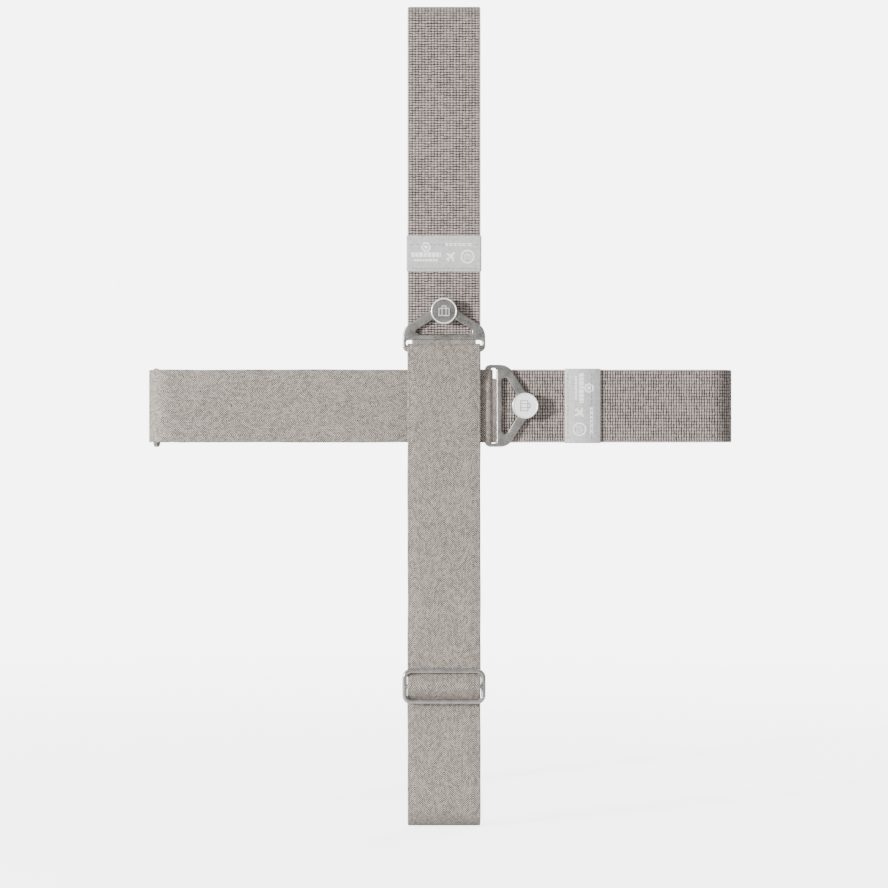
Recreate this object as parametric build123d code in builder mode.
from build123d import *
import math
import os

# Cross set of two luggage straps, worn as two closed loops round a case that isn't part of the set.
# The upright loop lies over the level loop. Each loop is a woven webbing with a slider and a
# die-cast hook, and an elastic band that ends in a tab with a stud. The hook's keyhole holds the stud.
# Millimetres. +Z is up, -Y is the case's front, and the origin is the middle of the case's bottom seat.
#
# Each strap has its own axes: u across the webbing, v along it towards the hook's apex, and d outwards
# from the plane that bears on the case. The hook's axes start at its webbing bar, the slider's at its
# centre bar.

# The case that the loops fit
CASE_HEIGHT = 562.0
CASE_LEFT = -202.0
CASE_RIGHT = 198.0
CASE_DEPTH = 240.0
CASE_CORNER = 14.0

# Webbing and elastic
STRAP_WIDTH = 50.0
WEBBING = 1.2
ELASTIC = 1.3
LAYER_GAP = 0.05
SECOND_LAYER = WEBBING + LAYER_GAP
THIRD_LAYER = 2 * SECOND_LAYER

# Where the straps lie on the case
UPRIGHT_STAND_OFF = 9.0
UPRIGHT_BACK = 2.0
UPRIGHT_BAR_Z = 327.0
LEVEL_Z = 288.0
LEVEL_BAR_X = 30.2
UPRIGHT_SLIDER_Z = 96.3
LEVEL_SLIDER_Y = -30.0

# Die-cast hook
HOOK_HALF_WIDTH = 28.2
HOOK_FOOT = -2.4
HOOK_APEX = 32.4
HOOK_SLOPE = 33.5
HOOK_FOOT_RADIUS = 5.0
HOOK_SHOULDER_RADIUS = 10.0
HOOK_APEX_RADIUS = 8.0
HOOK_THICKNESS = 3.0
HOOK_DEPTH = 5.1
HOOK_EDGE_RADIUS = 0.9
HOOK_BAR_RADIUS = 2.1
SLOT_HALF_LENGTH = 25.9
CROSSBAR_LOW = 5.7
CROSSBAR_HIGH = 9.6
WINDOW_HALF_BASE = 24.2
WINDOW_SLOPE = 31.0
WINDOW_CORNER = 2.0
KEYHOLE_RADIUS = 2.7
KEYHOLE_LOW = 20.0
FOLD_CLEARANCE = 0.05
FOLD_RUN = 26.0

# Stud on the elastic tab
STUD_V = 25.4
STUD_NECK_RADIUS = 2.2
STUD_CAP_RADIUS = 8.85
STUD_CAP_FOOT = 8.7
STUD_CAP_HEIGHT = 2.8
STUD_RIM_WIDTH = 0.8
STUD_RIM_HEIGHT = 0.35
STUD_BEVEL = 0.6
STUD_BORE = 1.2
WASHER_RADIUS = 6.5
WASHER_THICKNESS = 0.6
NECK_CLEARANCE = 0.1

# Elastic tab and label
TAB_END = 9.0
TAB_RAW_END = 73.0
TAB_TOP = 76.0
LABEL_LOW = 52.8
LABEL_HIGH = 77.3
LABEL_THICKNESS = 0.35
LABEL_SIDE_GAP = 0.3

# Slider of bent and welded wire
RING_HALF_WIDTH = 28.5
RING_HALF_LENGTH = 12.25
RING_WIRE_RADIUS = 1.45
RING_BEND_RADIUS = 3.6
RING_DEPTH = 5.4
CENTRE_BAR_RADIUS = 1.3
WELD_BITE = 0.6

# Webbing woven through the slider, in the slider's own axes
WEAVE_START = -16.0
WEAVE_END = 30.0
WEAVE_RISE_FOOT = -9.6
WEAVE_RISE = 43.4
WEAVE_FALL_FOOT = 9.0
WEAVE_FALL = 33.5
TAIL_END = 28.0
TAIL_FOOT = 8.9
TAIL_TURN = 0.7
BACK_FOOT = 8.0
BACK_TURN = 0.4

# Lap join of webbing and elastic on the back, measured from the webbing bar
JOIN_LOW = 60.0
JOIN_HIGH = 100.0

# Sewing thread, and how far its seams stay from the strap's edges and ends
THREAD = 0.6
THREAD_PROUD = 0.15
SEAM_SIDE = 5.0
SEAM_END = 4.0
SEWN_END_LENGTH = 11.0
SEWN_END_MIDDLE = 20.5
LABEL_SEAM_SIDE = 2.0

# Gentle bends and slopes of the straps
SOFT_BEND = 6.0
JOIN_RAMP = 8.0
LAYER_RAMP = 7.0
TAB_RAMP = 9.0
CORNER_RUN = 4.0
ELASTIC_CORNER_RUN = 2.0

HALF_WIDTH = STRAP_WIDTH / 2

os.makedirs("parts", exist_ok=True)


def front_plane(origin, towards_apex):
    """The strap's own axes on the case's front: local x is u, local y is v and the normal is d."""
    out = Vector(0, -1, 0)
    return Plane(origin=origin, x_dir=Vector(towards_apex).cross(out), z_dir=out)


def edge_plane(face):
    """The plane that shows a strap edge on: local x is v, local y is d and the normal is u."""
    return Plane(origin=face.origin, x_dir=face.y_dir, z_dir=face.x_dir)


def save(piece, label):
    piece.part.label = label
    export_step(piece.part, f"parts/{label}.step")
    print(f"{label}: {len(piece.part.solids())} solids, {piece.part.volume:.1f} mm3")


# Webbing and elastic: a line on one face of the strap, given its thickness, then its width


def strap_piece(label, edge, points, radii, thickness, side):
    """A length of flat strap, whose one face follows the points, with a bend at each corner."""
    with BuildPart() as piece:
        with BuildSketch(edge):
            with BuildLine():
                if radii:
                    FilletPolyline(*points, radius=radii)
                else:
                    Polyline(*points)
                offset(amount=thickness, kind=Kind.INTERSECTION, side=side)
            make_face()
        extrude(amount=HALF_WIDTH, both=True)
    save(piece, label)


def straight_piece(label, edge, start, end, depth, thickness):
    """A flat length of strap between two places along v, whose inner face is at one depth."""
    strap_piece(label, edge, [(start, depth), (end, depth)], None, thickness, Side.LEFT)


def elastic_band(label, edge, top, depth):
    """The elastic from the front corner over the case, then down the back onto the webbing's end."""
    points = [
        (top - CASE_CORNER - ELASTIC_CORNER_RUN, 0),
        (top, 0),
        (top, -depth),
        (JOIN_HIGH + JOIN_RAMP, -depth),
        (JOIN_HIGH + 1, -depth - WEBBING),
        (JOIN_LOW, -depth - WEBBING),
    ]
    radii = [CASE_CORNER, CASE_CORNER, JOIN_RAMP, JOIN_RAMP]
    strap_piece(label, edge, points, radii, ELASTIC, Side.LEFT)


def join_stitching(label, edge, depth):
    """A sewn box with a cross in it, through the elastic and the webbing on the case's back."""
    outer = depth + WEBBING + ELASTIC + THREAD_PROUD
    middle = (JOIN_LOW + JOIN_HIGH) / 2
    back = Plane(
        origin=edge.from_local_coords((middle, -outer, 0)), x_dir=edge.x_dir, z_dir=edge.y_dir
    )
    length = JOIN_HIGH - JOIN_LOW - 2 * SEAM_END
    sewn_box(label, back, length, STRAP_WIDTH - 2 * SEAM_SIDE, outer - depth)


def sewn_box(label, plane, length, width, thickness):
    """Thread lines round a box and along its two diagonals, as deep as the layers they hold."""
    lean = math.degrees(math.atan2(width, length))
    diagonal = math.hypot(length, width) - THREAD
    with BuildPart() as thread:
        with BuildSketch(plane):
            Rectangle(length, width)
            Rectangle(length - 2 * THREAD, width - 2 * THREAD, mode=Mode.SUBTRACT)
            Rectangle(diagonal, THREAD, rotation=lean)
            Rectangle(diagonal, THREAD, rotation=-lean)
        extrude(amount=thickness)
    save(thread, label)


# Hook end: the webbing's fold round the hook's bar, and the die-cast hook


def hook_fold(label, edge):
    """The webbing's two layers and the fold that holds the hook by its bar."""
    bend = HOOK_BAR_RADIUS + FOLD_CLEARANCE + WEBBING
    front, back = HOOK_DEPTH + bend, HOOK_DEPTH - bend
    outer_face = SECOND_LAYER + WEBBING
    ramp_foot = -FOLD_RUN + 3
    lean = math.atan2(front - outer_face, -ramp_foot)
    points = [
        (-FOLD_RUN, 0),
        (-10, 0),
        (0, back),
        (bend, back),
        (bend, front),
        (-bend * math.tan(lean / 2), front),
        (ramp_foot, outer_face),
        (-FOLD_RUN, outer_face),
    ]
    soft = bend - LAYER_GAP
    radii = [SOFT_BEND, 4, soft, soft, soft, SOFT_BEND]
    strap_piece(label, edge, points, radii, WEBBING, Side.LEFT)


def hook_outline():
    """The hook's outer edge: two rounded feet, curved shoulders and a rounded apex."""
    shoulder = HOOK_APEX - HOOK_HALF_WIDTH * math.tan(math.radians(HOOK_SLOPE))
    FilletPolyline(
        (HOOK_HALF_WIDTH, HOOK_FOOT),
        (HOOK_HALF_WIDTH, shoulder),
        (0, HOOK_APEX),
        (-HOOK_HALF_WIDTH, shoulder),
        (-HOOK_HALF_WIDTH, HOOK_FOOT),
        radius=[
            HOOK_FOOT_RADIUS,
            HOOK_SHOULDER_RADIUS,
            HOOK_APEX_RADIUS,
            HOOK_SHOULDER_RADIUS,
            HOOK_FOOT_RADIUS,
        ],
        close=True,
    )


def hook(label, face):
    """A flat triangular hook with a keyhole window, a crossbar, and a round bar for the webbing."""
    window_apex = CROSSBAR_HIGH + WINDOW_HALF_BASE * math.tan(math.radians(WINDOW_SLOPE))
    base = face.offset(HOOK_DEPTH)
    across = Plane(origin=base.origin, x_dir=face.y_dir, z_dir=face.x_dir)
    with BuildPart() as bar:
        with BuildSketch(across):
            Circle(HOOK_BAR_RADIUS)
        extrude(amount=HOOK_HALF_WIDTH, both=True)
        with BuildSketch(base):
            with BuildLine():
                hook_outline()
            make_face()
        extrude(amount=HOOK_BAR_RADIUS + 1, both=True, mode=Mode.INTERSECT)
    with BuildPart() as piece:
        with BuildSketch(base):
            with BuildLine():
                hook_outline()
            make_face()
            with BuildLine():
                FilletPolyline(
                    (WINDOW_HALF_BASE, CROSSBAR_HIGH),
                    (0, window_apex),
                    (-WINDOW_HALF_BASE, CROSSBAR_HIGH),
                    radius=[WINDOW_CORNER, WINDOW_CORNER, WINDOW_CORNER],
                    close=True,
                )
            make_face(mode=Mode.SUBTRACT)
            with Locations((0, STUD_V)):
                Circle(KEYHOLE_RADIUS, mode=Mode.SUBTRACT)
            with Locations((0, (STUD_V + KEYHOLE_LOW) / 2)):
                Rectangle(2 * KEYHOLE_RADIUS, STUD_V - KEYHOLE_LOW, mode=Mode.SUBTRACT)
            with Locations((0, (CROSSBAR_LOW + 2 * HOOK_FOOT) / 2)):
                Rectangle(2 * SLOT_HALF_LENGTH, CROSSBAR_LOW - 2 * HOOK_FOOT, mode=Mode.SUBTRACT)
        extrude(amount=HOOK_THICKNESS / 2, both=True)
        flat_rims = piece.faces().filter_by(Axis(base.origin, base.z_dir)).edges()
        fillet(flat_rims, HOOK_EDGE_RADIUS)
        add(bar.part)
    save(piece, label)


# Elastic tab, its label, and the stud


def elastic_tab(label, face, edge):
    """The elastic's end, folded back on itself. The stud goes through its outer layer."""
    open_depth = ELASTIC + 2 * LAYER_GAP + WASHER_THICKNESS + ELASTIC
    shut_depth = ELASTIC + LAYER_GAP + ELASTIC
    close_from = STUD_V + WASHER_RADIUS + 3
    points = [
        (TAB_TOP, 0),
        (TAB_END, 0),
        (TAB_END, open_depth),
        (close_from, open_depth),
        (close_from + TAB_RAMP, shut_depth),
        (TAB_RAW_END, shut_depth),
    ]
    turn = open_depth / 2 - LAYER_GAP
    with BuildPart() as piece:
        with BuildSketch(edge):
            with BuildLine():
                FilletPolyline(*points, radius=[turn, turn, SOFT_BEND, SOFT_BEND])
                offset(amount=ELASTIC, side=Side.RIGHT)
            make_face()
        extrude(amount=HALF_WIDTH, both=True)
        with BuildSketch(face.offset(ELASTIC + LAYER_GAP)):
            with Locations((0, STUD_V)):
                Circle(STUD_NECK_RADIUS + NECK_CLEARANCE)
        extrude(amount=open_depth, mode=Mode.SUBTRACT)
    save(piece, label)


def label_sleeve(label, face):
    """A satin label over the tab's two layers, turned down round both edges."""
    inner = 2 * ELASTIC + 2 * LAYER_GAP
    outer_half = HALF_WIDTH + LABEL_SIDE_GAP + LABEL_THICKNESS
    middle = (LABEL_LOW + LABEL_HIGH) / 2
    with BuildPart() as piece:
        with BuildSketch(face.offset(LAYER_GAP)):
            with Locations((0, middle)):
                Rectangle(2 * outer_half, LABEL_HIGH - LABEL_LOW)
        extrude(amount=inner + LABEL_THICKNESS - LAYER_GAP)
        with BuildSketch(face):
            with Locations((0, middle)):
                Rectangle(2 * (HALF_WIDTH + LABEL_SIDE_GAP), LABEL_HIGH - LABEL_LOW)
        extrude(amount=inner, mode=Mode.SUBTRACT)
    save(piece, label)


def label_stitching(label, face):
    """Two thread lines that sew the label and the elastic's raw end to the band."""
    top = 2 * ELASTIC + 2 * LAYER_GAP + LABEL_THICKNESS + THREAD_PROUD
    with BuildPart() as thread:
        with BuildSketch(face.offset(LAYER_GAP)):
            with Locations((0, LABEL_LOW + LABEL_SEAM_SIDE), (0, TAB_RAW_END - LABEL_SEAM_SIDE)):
                Rectangle(STRAP_WIDTH - 2 * LABEL_SEAM_SIDE, THREAD)
        extrude(amount=top - LAYER_GAP)
    save(thread, label)


def stud_washer(label, face):
    """The plate that spreads the stud's pull, between the tab's two layers."""
    with BuildPart() as piece:
        with BuildSketch(face.offset(ELASTIC + LAYER_GAP)):
            with Locations((0, STUD_V)):
                Circle(WASHER_RADIUS)
                Circle(STUD_NECK_RADIUS, mode=Mode.SUBTRACT)
        extrude(amount=WASHER_THICKNESS)
    save(piece, label)


def stud_post(label, face):
    """The rivet from the washer, through the tab's outer layer, into the cap."""
    foot = ELASTIC + LAYER_GAP
    with BuildPart() as piece:
        with BuildSketch(face.offset(foot)):
            with Locations((0, STUD_V)):
                Circle(STUD_NECK_RADIUS)
        extrude(amount=STUD_CAP_FOOT + STUD_BORE - foot)
    save(piece, label)


def stud_cap(label, face, edge):
    """A low round cap with a thin raised rim, blind-bored for the rivet."""
    high = STUD_CAP_FOOT + STUD_CAP_HEIGHT
    floor = high - STUD_RIM_HEIGHT
    middle = face.from_local_coords((0, STUD_V, 0))
    turning = Plane(origin=middle, x_dir=edge.x_dir, z_dir=edge.z_dir)
    with BuildPart() as piece:
        with BuildSketch(turning):
            Polygon(
                (0, STUD_CAP_FOOT + STUD_BORE),
                (STUD_NECK_RADIUS, STUD_CAP_FOOT + STUD_BORE),
                (STUD_NECK_RADIUS, STUD_CAP_FOOT),
                (STUD_CAP_RADIUS - STUD_BEVEL, STUD_CAP_FOOT),
                (STUD_CAP_RADIUS, STUD_CAP_FOOT + STUD_BEVEL),
                (STUD_CAP_RADIUS, high - STUD_BEVEL / 2),
                (STUD_CAP_RADIUS - STUD_BEVEL / 2, high),
                (STUD_CAP_RADIUS - STUD_RIM_WIDTH, high),
                (STUD_CAP_RADIUS - STUD_RIM_WIDTH, floor),
                (0, floor),
                align=None,
            )
        revolve(axis=Axis(middle, face.z_dir))
    save(piece, label)


# Slider: the welded wire ring and bar, and the webbing woven through them


def slider_frame(label, face):
    """A rounded rectangle of bent wire."""
    half_width = RING_HALF_WIDTH - RING_WIRE_RADIUS
    half_length = RING_HALF_LENGTH - RING_WIRE_RADIUS
    base = face.offset(RING_DEPTH)
    with BuildPart() as piece:
        with BuildLine(base) as wire:
            FilletPolyline(
                (half_width, -half_length),
                (half_width, half_length),
                (-half_width, half_length),
                (-half_width, -half_length),
                radius=[RING_BEND_RADIUS] * 4,
                close=True,
            )
        start = Plane(origin=wire.line @ 0, x_dir=face.z_dir, z_dir=wire.line % 0)
        with BuildSketch(start):
            Circle(RING_WIRE_RADIUS)
        sweep(path=wire.line)
    save(piece, label)


def slider_bar(label, face):
    """The centre bar, welded between the ring's two sides."""
    inside = RING_HALF_WIDTH - 2 * RING_WIRE_RADIUS
    base = face.offset(RING_DEPTH)
    across = Plane(origin=base.origin, x_dir=face.y_dir, z_dir=face.x_dir)
    with BuildPart() as piece:
        with BuildSketch(across):
            Circle(CENTRE_BAR_RADIUS)
        extrude(amount=inside + WELD_BITE, both=True)
    save(piece, label)


def slider_weave(label, edge):
    """The main webbing where it goes under the ring, over the centre bar and under the ring again."""
    wrap = CENTRE_BAR_RADIUS + LAYER_GAP + WEBBING
    bend = wrap + LAYER_GAP
    top = RING_DEPTH + bend
    rise, fall = math.radians(WEAVE_RISE), math.radians(WEAVE_FALL)
    points = [
        (WEAVE_START, 0),
        (WEAVE_RISE_FOOT, 0),
        (-bend * math.tan(rise / 2), top),
        (bend * math.tan(fall / 2), top),
        (WEAVE_FALL_FOOT, THIRD_LAYER),
        (WEAVE_END, THIRD_LAYER),
    ]
    radii = [2.0, bend - 0.1, bend - 0.1, 3.0]
    strap_piece(label, edge, points, radii, WEBBING, Side.LEFT)


def sewn_end(label, edge):
    """The webbing's end: in along the back layer, round the centre bar, and back on itself."""
    wrap = CENTRE_BAR_RADIUS + LAYER_GAP + WEBBING
    top, low = RING_DEPTH + wrap, RING_DEPTH - wrap
    tail_face = SECOND_LAYER + WEBBING
    soft = wrap - 2 * LAYER_GAP
    points = [
        (WEAVE_END, 0),
        (BACK_FOOT, 0),
        (BACK_TURN, low),
        (-wrap, low),
        (-wrap, top),
        (TAIL_TURN, top),
        (TAIL_FOOT, tail_face),
        (TAIL_END, tail_face),
    ]
    radii = [3.0, 2.0, soft, soft, 2.2, 3.0]
    strap_piece(label, edge, points, radii, WEBBING, Side.RIGHT)


def sewn_end_stitching(label, face):
    """A sewn box and cross through the tail and the back layer."""
    middle = face.from_local_coords((0, SEWN_END_MIDDLE, LAYER_GAP))
    plane = Plane(origin=middle, x_dir=face.y_dir, z_dir=face.z_dir)
    width = STRAP_WIDTH - 2 * SEAM_SIDE
    thickness = SECOND_LAYER + WEBBING - 2 * LAYER_GAP
    sewn_box(label, plane, SEWN_END_LENGTH, width, thickness)


def front_layer_points(far_end):
    """The inner face of the front layer as it drops off the tail's end onto the back layer."""
    return [
        (WEAVE_END, THIRD_LAYER),
        (WEAVE_END + 2, THIRD_LAYER),
        (WEAVE_END + 2 + LAYER_RAMP, SECOND_LAYER),
        (far_end, SECOND_LAYER),
    ]


def common_pieces(name, face, slider_face, high, depth):
    """Every piece that both straps have alike."""
    edge = edge_plane(face)
    slider_edge = edge_plane(slider_face)
    elastic_band(f"{name}_elastic_band", edge, high, depth)
    corner = high - CASE_CORNER - ELASTIC_CORNER_RUN
    straight_piece(f"{name}_elastic_front", edge, TAB_TOP, corner, 0, ELASTIC)
    join_stitching(f"{name}_join_stitching", edge, depth)
    hook_fold(f"{name}_hook_fold", edge)
    hook(f"{name}_hook", face)
    elastic_tab(f"{name}_elastic_tab", face, edge)
    label_sleeve(f"{name}_label", face)
    label_stitching(f"{name}_label_stitching", face)
    stud_washer(f"{name}_stud_washer", face)
    stud_post(f"{name}_stud_post", face)
    stud_cap(f"{name}_stud_cap", face, edge)
    slider_frame(f"{name}_slider_frame", slider_face)
    slider_bar(f"{name}_slider_bar", slider_face)
    slider_weave(f"{name}_slider_weave", slider_edge)
    sewn_end(f"{name}_sewn_end", slider_edge)
    sewn_end_stitching(f"{name}_sewn_end_stitching", slider_face)


# Upright strap: the slider is on the case's front, below the hook

upright_y = -CASE_DEPTH / 2 - UPRIGHT_STAND_OFF
upright_depth = CASE_DEPTH / 2 + UPRIGHT_BACK - upright_y
upright_low = -UPRIGHT_BAR_Z
upright_high = CASE_HEIGHT - UPRIGHT_BAR_Z
upright_face = front_plane((0, upright_y, UPRIGHT_BAR_Z), (0, 0, 1))
upright_slider = front_plane((0, upright_y, UPRIGHT_SLIDER_Z), (0, 0, 1))
upright_edge = edge_plane(upright_face)
upright_slider_edge = edge_plane(upright_slider)
bar_from_slider = UPRIGHT_BAR_Z - UPRIGHT_SLIDER_Z
front_corner = CASE_CORNER + CORNER_RUN - UPRIGHT_SLIDER_Z

common_pieces("upright", upright_face, upright_slider, upright_high, upright_depth)
strap_piece(
    "upright_webbing",
    upright_edge,
    [
        (JOIN_HIGH, -upright_depth),
        (upright_low, -upright_depth),
        (upright_low, 0),
        (upright_low + CASE_CORNER + CORNER_RUN, 0),
    ],
    [CASE_CORNER, CASE_CORNER],
    WEBBING,
    Side.LEFT,
)
straight_piece(
    "upright_webbing_run", upright_slider_edge, front_corner, WEAVE_START, 0, WEBBING
)
straight_piece(
    "upright_back_layer", upright_slider_edge, WEAVE_END, bar_from_slider - FOLD_RUN, 0, WEBBING
)
strap_piece(
    "upright_front_layer",
    upright_slider_edge,
    front_layer_points(bar_from_slider - FOLD_RUN),
    [SOFT_BEND, SOFT_BEND],
    WEBBING,
    Side.LEFT,
)

# Level strap: the slider is on the case's left side, behind the front corner

level_y = -CASE_DEPTH / 2
level_low = CASE_LEFT - LEVEL_BAR_X
level_high = CASE_RIGHT - LEVEL_BAR_X
level_face = front_plane((LEVEL_BAR_X, level_y, LEVEL_Z), (1, 0, 0))
level_edge = edge_plane(level_face)
level_slider = Plane(
    origin=(CASE_LEFT, LEVEL_SLIDER_Y, LEVEL_Z), x_dir=(0, 0, -1), z_dir=(-1, 0, 0)
)
level_slider_edge = edge_plane(level_slider)
side_end = CASE_DEPTH / 2 - CASE_CORNER - CORNER_RUN
front_side_end = LEVEL_SLIDER_Y + side_end
back_side_end = LEVEL_SLIDER_Y - side_end

common_pieces("level", level_face, level_slider, level_high, CASE_DEPTH)
strap_piece(
    "level_webbing",
    level_edge,
    [
        (JOIN_HIGH, -CASE_DEPTH),
        (level_low, -CASE_DEPTH),
        (level_low, -CASE_DEPTH / 2 - side_end),
    ],
    [CASE_CORNER],
    WEBBING,
    Side.LEFT,
)
straight_piece("level_webbing_run", level_slider_edge, back_side_end, WEAVE_START, 0, WEBBING)
for layer, lift in (("back", 0), ("front", SECOND_LAYER)):
    strap_piece(
        f"level_{layer}_layer",
        level_edge,
        [
            (level_low - lift, side_end - CASE_DEPTH / 2),
            (level_low - lift, lift),
            (-FOLD_RUN, lift),
        ],
        [CASE_CORNER + lift],
        WEBBING,
        Side.LEFT,
    )
straight_piece("level_back_layer_side", level_slider_edge, WEAVE_END, front_side_end, 0, WEBBING)
strap_piece(
    "level_front_layer_side",
    level_slider_edge,
    front_layer_points(front_side_end),
    [SOFT_BEND, SOFT_BEND],
    WEBBING,
    Side.LEFT,
)
